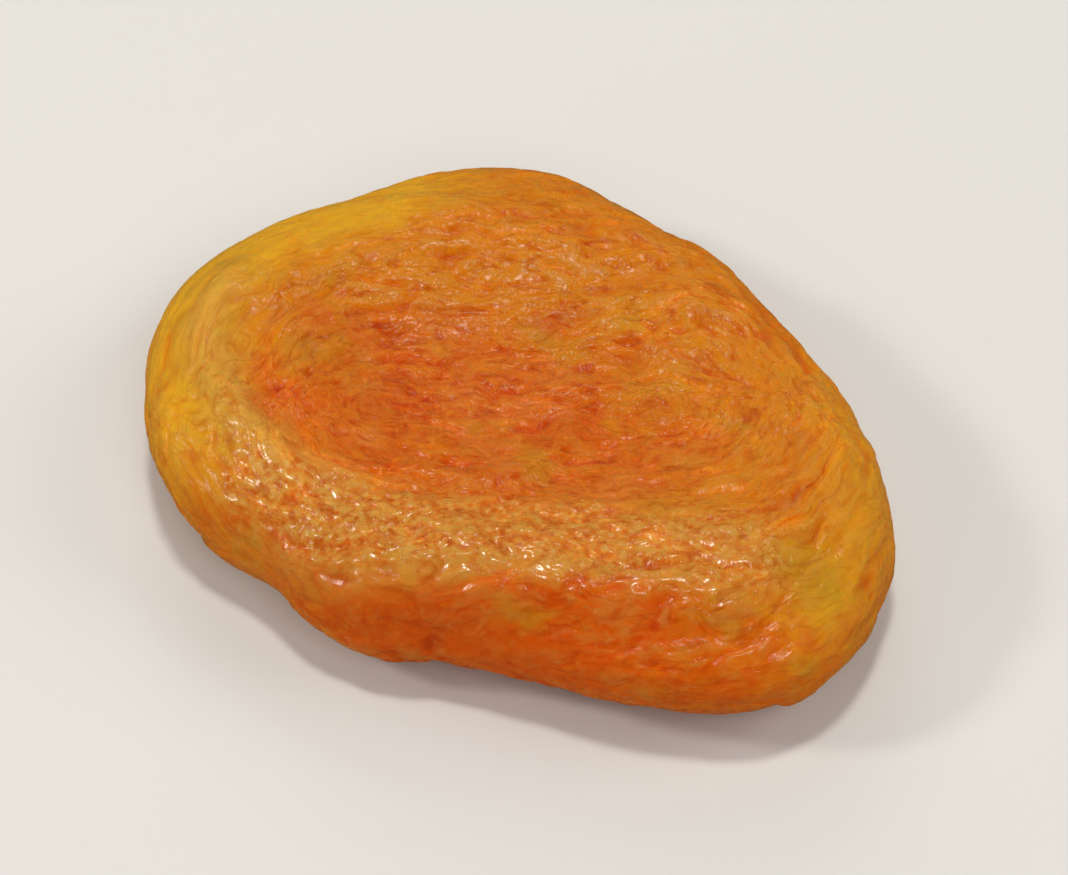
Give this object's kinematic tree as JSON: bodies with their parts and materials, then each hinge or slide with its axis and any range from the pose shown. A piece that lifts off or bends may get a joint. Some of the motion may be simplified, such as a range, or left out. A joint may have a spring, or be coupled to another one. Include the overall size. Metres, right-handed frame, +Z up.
{
  "type": "dried apricot",
  "caption": "Dried pitted apricot, pressed flat, with a puffy rim and a sunken wrinkled middle, amber to orange-red.",
  "frame": {"origin": "centre of the bounding box in plan, on the surface it lies on", "axes": "+X along the fruit's length towards its broad end, +Z up through its thickness"},
  "size_m": [0.041, 0.0306, 0.0088],
  "materials": {
    "skin": "satin"
  },
  "bodies": {
    "root": {"apricot": "skin"}
  },
  "joints": []
}
